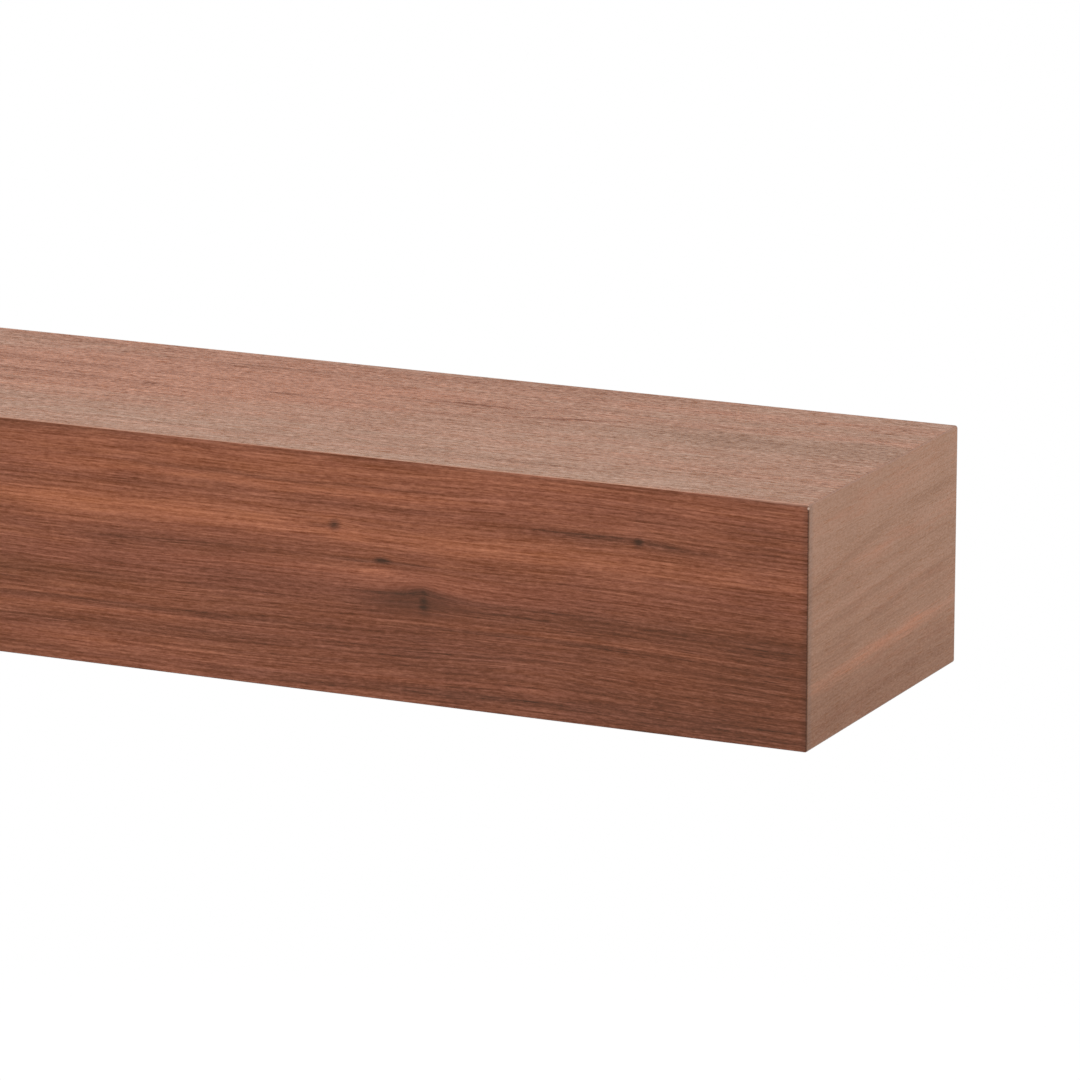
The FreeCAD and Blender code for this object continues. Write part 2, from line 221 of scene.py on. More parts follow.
# Walnut veneer. Tone runs from -1, nearly black, to 1, pale; each palette gives the colour by tone.
RED_WALNUT = (
    (-1.0, 61, 45, 35), (-0.4, 104, 61, 44), (0.0, 129, 76, 56), (0.4, 154, 93, 68), (1.0, 186, 116, 84),
)
# The top's and the ends' palettes are the veneer's colour made paler and greyer by a painted sheen
TOP_WALNUT_WITH_SHEEN = (
    (-1.0, 76, 55, 46), (-0.4, 115, 77, 54), (0.0, 132, 92, 66), (0.4, 147, 106, 81), (1.0, 171, 128, 100),
)
END_WALNUT_WITH_SHEEN = (
    (-1.0, 90, 61, 46), (-0.4, 115, 77, 55), (0.0, 132, 93, 68), (0.4, 149, 109, 86), (1.0, 176, 135, 112),
)
ORANGE_WALNUT = (
    (-1.0, 81, 48, 33), (-0.4, 111, 63, 39), (0.0, 132, 78, 48), (0.4, 157, 94, 58), (1.0, 190, 117, 74),
)
DARK_ARRIS = paint(62, 38, 27)
# A painted grey sheen along the arris between the top and each end
PAINTED_SHEEN_ARRIS = paint(124, 98, 88)
# A painted blue-grey shade on each end, along its front edge
PAINTED_DUSK_SHADE = paint(98, 76, 65)
# A painted highlight along the top's front arris, and on the corner's rub
PAINTED_HIGHLIGHT_ARRIS = paint(172, 134, 117)
# A bare nick at the corner with a painted glint on it
NICK_WITH_GLINT = paint(180, 154, 140)

# Each layer of a face's noise lies this far from the one before, so that no two are alike
LAYERS = ("figure", "lines", "fibres", "specks", "dashes", "pores", "glow", "hue")
LAYER_STEP = 5

# Sizes of the marks in the grain, in millimetres along and across it; the 1 leaves the layers as they are
WAVE_SIZE = (190, 70, 1)
FIGURE_SIZE = (260, 4.0, 1)
LINE_SIZE = (80, 1.4, 1)
FIBRE_SIZE = (7, 0.7, 1)
DASH_SIZE = (26, 1.8, 1)
PORE_SIZE = (14, 0.6, 1)
GLOW_SIZE = (34, 90, 1)
SLOW_HUE_SIZE = (220, 16, 1)
QUICK_HUE_SIZE = (24, 2.4, 1)
FEATHER_SIZE = (45, 1.1, 1)
SPECK_WIDTH = 1.1

# Height of the grain's slow wave in millimetres, and weights that are the same on every face
WAVE_HEIGHT = 3.0
GLOW_WEIGHT = 0.10
QUICK_HUE_WEIGHT = 1.4

# The painted sheen's own light, which is also the least that any colour gives back
LEAST_LIGHT = 0.002

# Satin lacquer: its roughness, what knots add to that, and the depth of pores and fibres in millimetres
SATIN_ROUGHNESS = 0.36
KNOT_ROUGHNESS = 0.25
KNOT_TONES = (-0.9, -0.3)
PORE_DEPTH = 0.03
FIBRE_DEPTH = 0.006
LACQUER_IOR = 1.22

# A face's grain: the weight of each kind of mark and of the painted sheen, tone and hue; speck_length and
# feather are millimetres
Grain = namedtuple(
    "Grain", "figure lines fibres specks speck_length dashes pores tone warmth orange veil feather")
FRONT_GRAIN = Grain(
    figure=0.20, lines=0.77, fibres=0.22, specks=0.58, speck_length=5.0, dashes=0.10, pores=0.16,
    tone=-0.060, warmth=0.18, orange=0.25, veil=0.042, feather=2.0,
)
TOP_GRAIN = Grain(
    figure=0.20, lines=0.60, fibres=0.20, specks=1.56, speck_length=4.6, dashes=0.42, pores=0.24,
    tone=0.03, warmth=0.34, orange=0.45, veil=0.015, feather=2.0,
)
END_GRAIN = Grain(
    figure=0.20, lines=0.06, fibres=0.10, specks=0.52, speck_length=3.0, dashes=0.05, pores=0.00,
    tone=0.00, warmth=0.00, orange=0.30, veil=0.020, feather=5.0,
)

# Streaks: place and half sizes in millimetres along and across grain, tilt in degrees, fade in half sizes
Streak = namedtuple("Streak", "along across half_length half_width tone tilt warmth", defaults=(0, 0))
STREAK_FADE = 1.5
FRONT_PATCHES = (
    Streak(90, 40, 230, 18, 0.16), Streak(450, 42, 110, 25, -0.10), Streak(230, -45, 190, 34, -0.24),
    Streak(30, 18, 110, 14, 0.14, 0, 0.1), Streak(440, -34, 110, 36, -0.32, 0, 0.2),
    Streak(150, -6, 220, 9, 0.05, 0, -0.4),
)
FRONT_STREAKS = (
    Streak(130, 57, 260, 7, 0.18), Streak(400, 54, 110, 6, 0.14), Streak(150, 45, 190, 3, 0.18, -0.3),
    Streak(140, 48.6, 100, 1.3, -0.24), Streak(100, 38, 170, 4, -0.12), Streak(400, 41, 90, 2.5, 0.10),
    Streak(45, 44, 40, 5, 0.14), Streak(107, 42, 30, 4, -0.14), Streak(215, 45, 40, 5, 0.16),
    Streak(0, 32, 30, 5, -0.14), Streak(40, 24, 130, 6, 0.32), Streak(250, 21, 160, 8, 0.36, -0.2),
    Streak(350, 30, 50, 4, -0.12), Streak(420, 21, 50, 7, 0.12), Streak(40, 5, 90, 6, -0.14),
    Streak(85, 7.5, 90, 3.2, -0.17, 0.4), Streak(190, 0, 100, 2.2, 0.20, 0.4),
    Streak(250, -5, 55, 5, 0.16), Streak(340, -13, 190, 7, -0.24), Streak(110, -10, 90, 6, -0.10),
    Streak(350, -25, 110, 1.6, 0.16), Streak(25, -32, 105, 1.5, -0.30),
    Streak(290, -27.5, 80, 1.7, -0.26), Streak(290, -17, 70, 5, -0.10),
    Streak(40, -36, 110, 1.4, 0.22), Streak(60, -43, 140, 4, -0.22), Streak(150, -44, 60, 8, 0.14),
    Streak(40, -55, 140, 5, 0.24), Streak(230, -57, 120, 2, 0.20), Streak(240, -63, 80, 2.5, -0.20),
    Streak(400, -62, 130, 9, -0.30), Streak(358, -42, 40, 6, 0.18), Streak(71, -56, 24, 5, -0.14),
    Streak(174, 24.4, 12, 1.3, -0.32), Streak(176, 30, 12, 2.5, 0.22), Streak(188, 19.5, 14, 3, 0.22),
    Streak(204, 6.6, 26, 1.5, -0.38), Streak(202, 1.2, 16, 2.8, 0.28), Streak(224, -15.5, 36, 7, -0.32),
    Streak(332, 33.4, 38, 2.4, -0.40), Streak(372, 31.8, 28, 2.0, -0.32), Streak(356, 50, 3, 20, -0.08),
)
FRONT_KNOTS = (
    Streak(180.6, 24.9, 3.4, 3.6, -0.80), Streak(208.2, 7.2, 5.0, 2.4, -0.75),
    Streak(355.5, 32.0, 2.8, 2.5, -0.70), Streak(231, -10.5, 36, 1.6, -0.27),
    Streak(234, -12.8, 10, 0.7, 0.10), Streak(232.8, -16.0, 3.0, 4.6, -0.36),
    Streak(322, 34.0, 44, 1.0, -0.14),
)
# The warmth of the top's broad patches is partly the veneer's hue, partly where its painted sheen is weaker
TOP_STREAKS = (
    Streak(60, -40, 240, 80, 0.01, 0, 0.55), Streak(20, -80, 140, 50, 0.08, 0, 0.8),
    Streak(12, -92, 6, 2.4, -0.60, 0, 0.8), Streak(91, -84, 14, 3, -0.44, 0, 1.0),
    Streak(60, -28, 60, 6, -0.20), Streak(200, -64, 36, 1.6, -0.46, 0.5, 0.8),
    Streak(258, -75, 34, 2.0, -0.60, 14, 0.6), Streak(320, -67, 50, 2, -0.25),
    Streak(150, -65, 60, 1.6, -0.22, 0.3), Streak(430, -68, 40, 8, -0.16, 0, -0.4),
    Streak(385, -85, 110, 17, -0.20, 0, -0.6), Streak(370, -80, 90, 5, -0.08),
    Streak(214, -92, 60, 8, -0.12), Streak(210, -10, 140, 14, -0.16), Streak(40, -180, 160, 20, 0.14),
    Streak(200, -142, 260, 26, 0.04), Streak(300, -190, 160, 12, 0.10, 0, -0.3),
    Streak(270, -176, 60, 4, -0.22), Streak(60, -174, 70, 3, -0.25),
)
END_STREAKS = (
    Streak(-95, -30, 140, 4.2, 0.27, 1.6, 0.5), Streak(-95, -29, 120, 9, 0.02, 1.6, 0.2),
    Streak(-38, 36, 34, 3.6, -0.22), Streak(-110, 31, 30, 2.6, -0.14, 4), Streak(-15, 24, 40, 8, 0.14),
    Streak(-105, -11, 130, 3.0, -0.18, 4), Streak(-120, 6, 90, 4, 0.12, 4),
    Streak(-130, 0, 90, 2.6, -0.15, 4), Streak(-60, -3, 90, 5, 0.10, 4),
    Streak(-150, 25, 60, 2.6, -0.13, 10), Streak(-105, 22, 40, 4, 0.14, 2, 0.2),
    Streak(-192, 18, 30, 6, -0.16, 8), Streak(-60, 60, 260, 36, 0.20), Streak(-110, -60, 260, 28, -0.28),
    Streak(-190, -50, 50, 30, -0.10), Streak(-60, -52, 140, 2.4, -0.10, 2),
    Streak(-110, -19, 120, 3, -0.12, 3),
)

# The fine grain is calmer in this oval on the front, down to that share of its strength; fade in half sizes
Calm = namedtuple("Calm", "along across half_length half_width share")
FRONT_CALM = Calm(229, -14, 30, 10, 0.60)
CALM_FADE = (0.3, 1.5)

# Where the lines of the front bend, mostly round a knot, and how far they are lifted there, in millimetres
Bulge = namedtuple("Bulge", "along across half_length half_width lift")
FRONT_BULGES = (
    Bulge(290, -40, 160, 35, 8), Bulge(181, 27, 9, 7, 1.5), Bulge(208, 10.2, 12, 6, 1.3),
    Bulge(232.5, -3, 16, 9, 5), Bulge(356, 33.4, 14, 7, 1.5),
)

# Loose streaks, for what the photograph doesn't show: the ranges that they are drawn from
UNSEEN_LENGTH = (-HALF_LENGTH, -60)
LOOSE_HALF_LENGTHS = (70, 200)
LOOSE_HALF_WIDTHS = (1.2, 7.0)
LOOSE_TONES = (0.4, 1.0)
LOOSE_TILTS = (-0.8, 0.8)
LOOSE_WARMTHS = (0, 0.4)

# Arrises, sanded, oiled or rubbed, and with painted highlights, sheen and shade: place and width in
# millimetres, fade start and fray in shares of width
Arris = namedtuple("Arris", "axis position width strength shade")
ARRIS_FADE_START = 0.2
ARRIS_FRAY = 0.3
FRONT_ARRISES = (
    Arris("X", HALF_LENGTH, 1.2, 0.95, DARK_ARRIS), Arris("X", -HALF_LENGTH, 1.2, 0.95, DARK_ARRIS),
    # Under the front's top arris, a band of painted shade against the sun's light there
    Arris("X", HALF_LENGTH, 5.0, 0.28, DARK_ARRIS), Arris("Z", HALF_HEIGHT, 3.0, 0.20, DARK_ARRIS),
)
TOP_ARRISES = (
    Arris("X", HALF_LENGTH, 1.6, 0.60, PAINTED_SHEEN_ARRIS), Arris("X", -HALF_LENGTH, 1.6, 0.60, PAINTED_SHEEN_ARRIS),
    Arris("Y", -DEPTH, 1.6, 0.70, PAINTED_HIGHLIGHT_ARRIS),
)
END_ARRISES = (
    Arris("Y", -DEPTH, 8.0, 0.40, PAINTED_DUSK_SHADE), Arris("Y", -DEPTH, 0.9, 0.80, DARK_ARRIS),
    Arris("Z", HALF_HEIGHT, 1.6, 0.60, PAINTED_SHEEN_ARRIS),
)
BOTTOM_ARRISES = (
    Arris("Y", -DEPTH, 1.4, 0.70, DARK_ARRIS), Arris("X", HALF_LENGTH, 1.4, 0.70, DARK_ARRIS),
    Arris("X", -HALF_LENGTH, 1.4, 0.70, DARK_ARRIS),
)

# The front top right corner, in millimetres; the fade of its rub and painted highlight is in shares of the
# reach along X, Y and Z
CORNER = (HALF_LENGTH, -DEPTH, HALF_HEIGHT)
RUB_HIGHLIGHT_REACH = (60, 1.4, 1.4)
RUB_HIGHLIGHT_FADE = (0.6, 1.0)
RUB_HIGHLIGHT_STRENGTH = 0.4
# Just below the corner, a bare nick with a painted glint: its inset, drop, centre, fade and strength
NICK_GLINT_INSET = 0.35
NICK_GLINT_DROP = 2.0
NICK_GLINT_CENTRE = (HALF_LENGTH - NICK_GLINT_INSET, NICK_GLINT_INSET - DEPTH, HALF_HEIGHT - NICK_GLINT_DROP)
NICK_GLINT_FADE = (0.4, 0.9)
NICK_GLINT_STRENGTH = 0.9


def scattered(seed, along, across, count, strength):
    """Loose streaks over a face, or over the part of it that the photograph doesn't show."""
    draw = random.Random(seed)
    for _ in range(count):
        half_width = draw.uniform(*LOOSE_HALF_WIDTHS)
        tone = draw.choice((-1, 1)) * draw.uniform(*LOOSE_TONES) * strength
        yield Streak(
            draw.uniform(*along), draw.uniform(*across), draw.uniform(*LOOSE_HALF_LENGTHS), half_width,
            tone, draw.uniform(*LOOSE_TILTS), draw.uniform(*LOOSE_WARMTHS),
        )


def bent_across(g, along, across, bulges, seed):
    """Height across the grain after the slow wave of the lines and their bend round each knot."""
    wave = g.noise(g.combine(along, across, seed), WAVE_SIZE)
    across = g.math("MULTIPLY_ADD", wave, WAVE_HEIGHT, across)
    flat = g.combine(along, across, 0)
    for bulge in bulges:
        near = g.spot(flat, bulge[:2], bulge[2:4])
        rise = g.math("EXPONENT", g.math("MULTIPLY", near, -1))
        across = g.math("MULTIPLY_ADD", rise, -bulge.lift, across)
    return across


def fine_grain(g, layers, grain):
    """The fine marks added up by their weights, and the fibres and the pores by themselves."""
    lines = g.noise(layers["lines"], LINE_SIZE, detail=2, roughness=0.8)
    fibres = g.noise(layers["fibres"], FIBRE_SIZE, detail=1)
    specks = g.noise(layers["specks"], (grain.speck_length, SPECK_WIDTH, 1), detail=2, roughness=0.85)
    dashes = g.noise(layers["dashes"], DASH_SIZE, detail=1)
    pores = g.remap(g.noise(layers["pores"], PORE_SIZE), low=0.20, high=0.5)
    fine = g.total(
        (lines, grain.lines), (fibres, grain.fibres), (specks, grain.specks), (dashes, grain.dashes),
        (pores, -grain.pores),
    )
    return fine, fibres, pores


def streaked(g, tone, warmth, place, streaks):
    """Tone and warmth with these streaks laid over them, each fading out from its middle."""
    for streak in streaks:
        near = g.spot(place, streak[:2], streak[2:4], streak.tilt)
        tone = g.math("ADD", tone, g.remap(near, 0.0, STREAK_FADE, streak.tone, 0.0))
        if streak.warmth:
            warmth = g.math("ADD", warmth, g.remap(near, 0.0, STREAK_FADE, streak.warmth, 0.0))
    return tone, warmth


def arrises_stained_and_painted(g, axes, colour, arrises, fibres):
    """The colour with the shade of each arris along it, a stain or a painted highlight, sheen or shade,
    frayed by the fibres.
    """
    for axis, position, width, strength, shade in arrises:
        near = g.math("ABSOLUTE", g.math("SUBTRACT", axes[axis], position))
        near = g.math("MULTIPLY_ADD", fibres, ARRIS_FRAY * width, near)
        colour = g.mix(g.remap(near, ARRIS_FADE_START * width, width, strength, 0.0), colour, shade)
    return colour


def corner_with_painted_highlight_and_glint(g, axes, colour):
    """The colour with the corner's arris rubbed pale with a painted highlight, and a small bare spot with a
    painted glint just below it.
    """
    here = g.combine(*axes.values())
    rub_highlight = g.vector("LENGTH", g.vector("DIVIDE", g.vector("SUBTRACT", here, CORNER), RUB_HIGHLIGHT_REACH))
    colour = g.mix(g.remap(rub_highlight, *RUB_HIGHLIGHT_FADE, RUB_HIGHLIGHT_STRENGTH, 0.0), colour, PAINTED_HIGHLIGHT_ARRIS)
    spot = g.vector("LENGTH", g.vector("SUBTRACT", here, NICK_GLINT_CENTRE))
    return g.mix(g.remap(spot, *NICK_GLINT_FADE, NICK_GLINT_STRENGTH, 0.0), colour, NICK_WITH_GLINT)


def with_painted_sheen(g, colour, fine, tone, grain):
    """The colour with a painted sheen: a thin grey veil that follows the fine grain and leaves the knots
    dark.
    """
    veil = g.total((fine, grain.veil), (1.0, LEAST_LIGHT))
    veil = g.math("MULTIPLY", veil, g.remap(tone, -1.0, 0.0))
    colour = g.vector("ADD", colour, g.combine(veil, veil, veil))
    return g.vector("MAXIMUM", colour, (LEAST_LIGHT, LEAST_LIGHT, LEAST_LIGHT))


def walnut(name, run, palette, grain, seed, arrises, streaks, knots=(), bulges=(), calm=None):
    """Veneer whose grain runs along the first axis of run and is spread over the second."""
    material, g = new_graph(name)
    axes = g.axes()
    along = axes[run[0]]
    across = bent_across(g, along, axes[run[1]], bulges, seed)
    layers = {kind: g.combine(along, across, seed + LAYER_STEP * index) for index, kind in enumerate(LAYERS)}
    crisp = g.combine(along, across, 0)
    fine, fibres, pores = fine_grain(g, layers, grain)
    if calm:
        near = g.spot(crisp, calm[:2], calm[2:4])
        fine = g.math("MULTIPLY", fine, g.remap(near, *CALM_FADE, calm.share, 1.0))
    figure = g.noise(layers["figure"], FIGURE_SIZE, detail=2, roughness=0.8)
    glow = g.noise(layers["glow"], GLOW_SIZE)
    tone = g.total((figure, grain.figure), (glow, GLOW_WEIGHT), (1.0, grain.tone), (fine, 1.0))
    slow_hue = g.noise(layers["hue"], SLOW_HUE_SIZE)
    quick_hue = g.noise(layers["glow"], QUICK_HUE_SIZE, detail=1)
    hue_weight = QUICK_HUE_WEIGHT * grain.orange
    warmth = g.total((slow_hue, grain.orange), (quick_hue, hue_weight), (1.0, grain.warmth))
    feather = g.noise(layers["lines"], FEATHER_SIZE, detail=1)
    soft = g.combine(along, g.math("MULTIPLY_ADD", feather, grain.feather, across), 0)
    tone, warmth = streaked(g, tone, warmth, soft, streaks)
    tone, warmth = streaked(g, tone, warmth, crisp, knots)
    warmth = g.remap(warmth, 0.0, 1.0, kind="LINEAR")
    colour = g.mix(warmth, g.ramp(tone, palette), g.ramp(tone, ORANGE_WALNUT))
    # Stains, and painted highlights, sheen and shade, along the arrises
    colour = arrises_stained_and_painted(g, axes, colour, arrises, fibres)
    # A painted sheen: a thin grey veil along the fine grain, over all the colour
    # The corner's rub with its painted highlight, and the bare nick with its painted glint
    colour = with_painted_sheen(g, corner_with_painted_highlight_and_glint(g, axes, colour), fine, tone, grain)
    dull = g.remap(tone, *KNOT_TONES, KNOT_ROUGHNESS, 0.0)
    roughness = g.total((pores, 0.20), (tone, -0.25), (warmth, 0.03), (dull, 1.0), (1.0, SATIN_ROUGHNESS))
    height = g.total((pores, -PORE_DEPTH), (fibres, FIBRE_DEPTH))
    g.surface(colour, roughness, height, IOR=LACQUER_IOR)
    return material


def edge_distance(g, axes, node):
    """Millimetres from a box's nearest edge: the middle one of the distances from three faces."""
    gaps = []
    for axis, low, high in zip("XYZ", *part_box(node)):
        aside = g.math("ABSOLUTE", g.math("SUBTRACT", axes[axis], (low + high) / 2 / MM))
        gaps.append(g.math("SUBTRACT", (high - low) / 2 / MM, aside))
    nearer = g.math("MINIMUM", gaps[0], gaps[1])
    farther = g.math("MAXIMUM", gaps[0], gaps[1])
    return g.math("MAXIMUM", nearer, g.math("MINIMUM", farther, gaps[2]))


# Raw fibreboard: the sizes of its marks in millimetres
BOARD_TONES = ((-1.0, 96, 68, 44), (-0.3, 142, 108, 76), (0.2, 166, 130, 94), (1.0, 198, 166, 128))
BOARD_SOIL = paint(112, 82, 56)
BOARD_ROUGHNESS = 0.82
CLUMP_SIZE = (3, 3, 3)
FELT_SIZE = (0.5, 0.5, 0.5)
SHIVE_SIZE = (1.6, 1.6, 1.6)


def fibreboard(node):
    """Raw sanded board: felted fibres with a few dark shives, soiled along its edges."""
    material, g = new_graph("fibreboard_" + node)
    axes = g.axes()
    place = g.combine(*axes.values())
    clumps = g.noise(place, CLUMP_SIZE, detail=3)
    fibres = g.noise(place, FELT_SIZE, detail=2)
    shives = g.remap(g.noise(place, SHIVE_SIZE, detail=2), low=0.30, high=0.50)
    colour = g.ramp(g.total((clumps, 0.5), (fibres, 0.5), (shives, -0.6)), BOARD_TONES)
    edge = g.math("MULTIPLY_ADD", clumps, 1.2, edge_distance(g, axes, node))
    soil = g.remap(edge, low=0.2, high=1.6, to_low=0.45, to_high=0.0)
    roughness = g.total((fibres, 0.08), (1.0, BOARD_ROUGHNESS))
    height = g.total((fibres, 0.03), (shives, -0.03))
    g.surface(g.mix(soil, colour, BOARD_SOIL), roughness, height)
    return material


# Planed pine: sizes of its marks and rings in millimetres; late wood starts and peaks at shares of a ring
PINE_TONES = ((-1.0, 142, 92, 50), (-0.4, 184, 136, 84), (0.2, 212, 174, 122), (1.0, 232, 204, 158))
PINE_SOIL = paint(150, 104, 62)
PINE_ROUGHNESS = 0.62
PINE_FIBRE_SIZE = (45, 0.7, 0.7)
STAIN_SIZE = (120, 30, 30)
SWAY_SIZE = (160, 45, 45)
YEAR_SIZE = (400, 9, 9)
SWAY = 5.0
YEAR_SPREAD = 1.6
RING_WIDTH = 4.2
LATE_START = 0.40
LATE_PEAK = 0.90

# Each pine piece's place in the log: the axes along and across its grain, and the pith in millimetres
PITHS = {
    "upper_back_rail": ("XYZ", (30, 12)), "lower_back_rail": ("XYZ", (-60, -90)),
    "upper_front_batten": ("XYZ", (-150, 70)), "lower_front_batten": ("XYZ", (-190, -20)),
    "left_corner_block": ("ZXY", (-470, -160)), "right_corner_block": ("ZXY", (380, -160)),
}

# A rod block's pith, sideways from the block's middle and upwards, and its step from each block to the next
BLOCK_RUN = "YXZ"
BLOCK_PITH = (-30, 75)
BLOCK_PITH_STEP = (14, -40)


def pine(node, run, pith):
    """Planed softwood with rings about a pith; run gives the axis along the grain, then the two across."""
    material, g = new_graph("pine_" + node)
    axes = g.axes()
    along, first, second = (axes[axis] for axis in run)
    place = g.combine(along, first, second)
    sway = g.noise(place, SWAY_SIZE, detail=1)
    years = g.noise(place, YEAR_SIZE)
    from_pith = g.combine(0, g.math("SUBTRACT", first, pith[0]), g.math("SUBTRACT", second, pith[1]))
    radius = g.total((sway, SWAY), (years, YEAR_SPREAD), (g.vector("LENGTH", from_pith), 1.0))
    ring = g.math("FRACT", g.math("DIVIDE", radius, RING_WIDTH))
    late = g.math("MULTIPLY", g.remap(ring, LATE_START, LATE_PEAK), g.remap(ring, LATE_PEAK, 1.0, 1.0, 0.0))
    fibres = g.noise(place, PINE_FIBRE_SIZE, detail=2)
    stain = g.noise(place, STAIN_SIZE, detail=2)
    colour = g.ramp(g.total((late, -0.60), (fibres, 0.50), (stain, 0.40), (1.0, 0.20)), PINE_TONES)
    edge = g.math("MULTIPLY_ADD", fibres, 0.8, edge_distance(g, axes, node))
    soil = g.remap(edge, low=0.2, high=1.4, to_low=0.50, to_high=0.0)
    roughness = g.total((late, -0.08), (1.0, PINE_ROUGHNESS))
    height = g.total((late, 0.02), (fibres, 0.02))
    g.surface(g.mix(soil, colour, PINE_SOIL), roughness, height)
    return material


# Raw beech: the sizes of its marks in millimetres, along the dowels and across
BEECH_TONES = ((-1.0, 150, 102, 66), (0.0, 196, 150, 108), (1.0, 220, 182, 140))
BEECH_ROUGHNESS = 0.6
BEECH_FLECK_SIZE = (2.6, 0.4, 0.4)
BEECH_FIBRE_SIZE = (20, 0.6, 0.6)


def beech():
    """Raw beech with its short darker flecks along the dowels."""
    material, g = new_graph("beech")
    place = g.combine(*g.axes().values())
    flecks = g.remap(g.noise(place, BEECH_FLECK_SIZE), low=0.15, high=0.45)
    fibres = g.noise(place, BEECH_FIBRE_SIZE, detail=2)
    colour = g.ramp(g.total((fibres, 0.6), (flecks, -0.4)), BEECH_TONES)
    roughness = g.total((fibres, 0.08), (1.0, BEECH_ROUGHNESS))
    height = g.total((fibres, 0.02))
    g.surface(colour, roughness, height)
    return material


# Turned metal: the sizes of its tool rings and its tarnish in millimetres
BRASS_TONES = ((-1.0, 150, 108, 52), (0.0, 206, 164, 92), (1.0, 232, 198, 132))
OXIDE_TONES = ((-1.0, 36, 36, 38), (0.0, 58, 58, 61), (1.0, 96, 95, 96))
TOOL_RING_SIZE = (0.25, 0.25, 1)
TARNISH_SIZE = (4, 4, 4)


def turned_metal(name, node, tones, roughness, groove):
    """Metal turned about the upright axis of that node and its mirror twin, with fine tool rings."""
    material, g = new_graph(name)
    low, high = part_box(node)
    middle = (low + high) / 2 / MM
    axes = g.axes()
    across = g.math("SUBTRACT", g.math("ABSOLUTE", axes["X"]), abs(middle.x))
    radius = g.vector("LENGTH", g.combine(across, g.math("SUBTRACT", axes["Y"], middle.y), 0))
    rings = g.noise(g.combine(radius, axes["Z"], 0), TOOL_RING_SIZE, detail=1)
    tarnish = g.noise(g.combine(*axes.values()), TARNISH_SIZE, detail=3)
    colour = g.ramp(g.total((tarnish, 0.9), (rings, 0.3)), tones)
    shine = g.total((tarnish, 0.12), (rings, 0.10), (1.0, roughness))
    height = g.total((rings, groove))
    g.surface(colour, shine, height, Metallic=1.0)
    return material


# Powder coat: the sizes of its marks and the reach of its wear in millimetres
COAT_TONES = ((-1.0, 20, 20, 21), (0.0, 34, 34, 36), (1.0, 66, 66, 68))
WORN_COAT = paint(108, 108, 110)
COAT_ROUGHNESS = 0.52
PEEL_SIZE = (0.9, 0.9, 0.9)
CLOUD_SIZE = (14, 14, 14)
RUB_LINE_SIZE = (0.5, 40, 0.5)
SCUFF_SIZE = (34, 34, 1.1)
TIP_WEAR = 30
EDGE_WEAR = 2.4
WEAR_STRENGTH = 0.7


def powder_coat(node, worn_tip):
    """Matt black powder coat: orange peel and rub lines, worn grey at a rod's tip or along edges."""
    material, g = new_graph("powder_coat_" + node)
    axes = g.axes()
    place = g.combine(*axes.values())
    peel = g.noise(place, PEEL_SIZE, detail=1)
    cloud = g.noise(place, CLOUD_SIZE, detail=3)
    rubs = g.remap(g.noise(place, RUB_LINE_SIZE, detail=1), low=0.25, high=0.55)
    scuffs = g.remap(g.noise(place, SCUFF_SIZE, detail=1), low=0.34, high=0.60)
    colour = g.ramp(g.total((peel, 0.4), (cloud, 0.9), (rubs, 0.5), (scuffs, 0.6)), COAT_TONES)
    if worn_tip:
        distance = g.math("SUBTRACT", axes["Y"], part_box(node)[0].y / MM)
        reach = TIP_WEAR
    else:
        distance = edge_distance(g, axes, node)
        reach = EDGE_WEAR
    distance = g.total((cloud, 0.8 * reach), (peel, 0.4 * reach), (distance, 1.0))
    wear = g.remap(distance, 0.0, reach, WEAR_STRENGTH, 0.0)
    roughness = g.total((cloud, 0.12), (rubs, -0.12), (wear, -0.15), (1.0, COAT_ROUGHNESS))
    height = g.total((peel, 0.04))
    g.surface(g.mix(wear, colour, WORN_COAT), roughness, height)
    return material


def dress(material, *nodes):
    """These CAD pieces keep their shape and take this material."""
    for node in nodes:
        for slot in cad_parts[node].material_slots:
            slot.material = material


def dress_veneers():
    """A walnut for each face; its seed picks the place in the noise that its grain comes from."""
    whole_length = (-HALF_LENGTH, HALF_LENGTH)
    heights = (-HALF_HEIGHT, HALF_HEIGHT)
    depths = (-DEPTH, 0)
    unseen_front = scattered(11, UNSEEN_LENGTH, heights, count=22, strength=0.40)
    unseen_top = scattered(12, UNSEEN_LENGTH, depths, count=16, strength=0.35)
    front = walnut(
        "walnut_front", "XZ", RED_WALNUT, FRONT_GRAIN, seed=3.0, arrises=FRONT_ARRISES,
        streaks=(*FRONT_PATCHES, *FRONT_STREAKS, *unseen_front),
        knots=FRONT_KNOTS, bulges=FRONT_BULGES, calm=FRONT_CALM,
    )
    top = walnut(
        "walnut_top", "XY", TOP_WALNUT_WITH_SHEEN, TOP_GRAIN, seed=40.0, arrises=TOP_ARRISES,
        streaks=(*TOP_STREAKS, *unseen_top),
    )
    right_end = walnut(
        "walnut_right_end", "YZ", END_WALNUT_WITH_SHEEN, END_GRAIN, seed=80.0, arrises=END_ARRISES,
        streaks=END_STREAKS,
    )
    left_end = walnut(
        "walnut_left_end", "YZ", END_WALNUT_WITH_SHEEN, END_GRAIN, seed=120.0, arrises=END_ARRISES,
        streaks=scattered(14, depths, heights, count=14, strength=0.26),
    )
    bottom = walnut(
        "walnut_bottom", "XY", RED_WALNUT, FRONT_GRAIN, seed=160.0, arrises=BOTTOM_ARRISES,
        streaks=scattered(13, whole_length, depths, count=36, strength=0.40),
    )
    dress(front, "front_veneer")
    dress(top, "top_veneer")
    dress(right_end, "right_end_veneer")
    dress(left_end, "left_end_veneer")
    dress(bottom, "bottom_veneer")


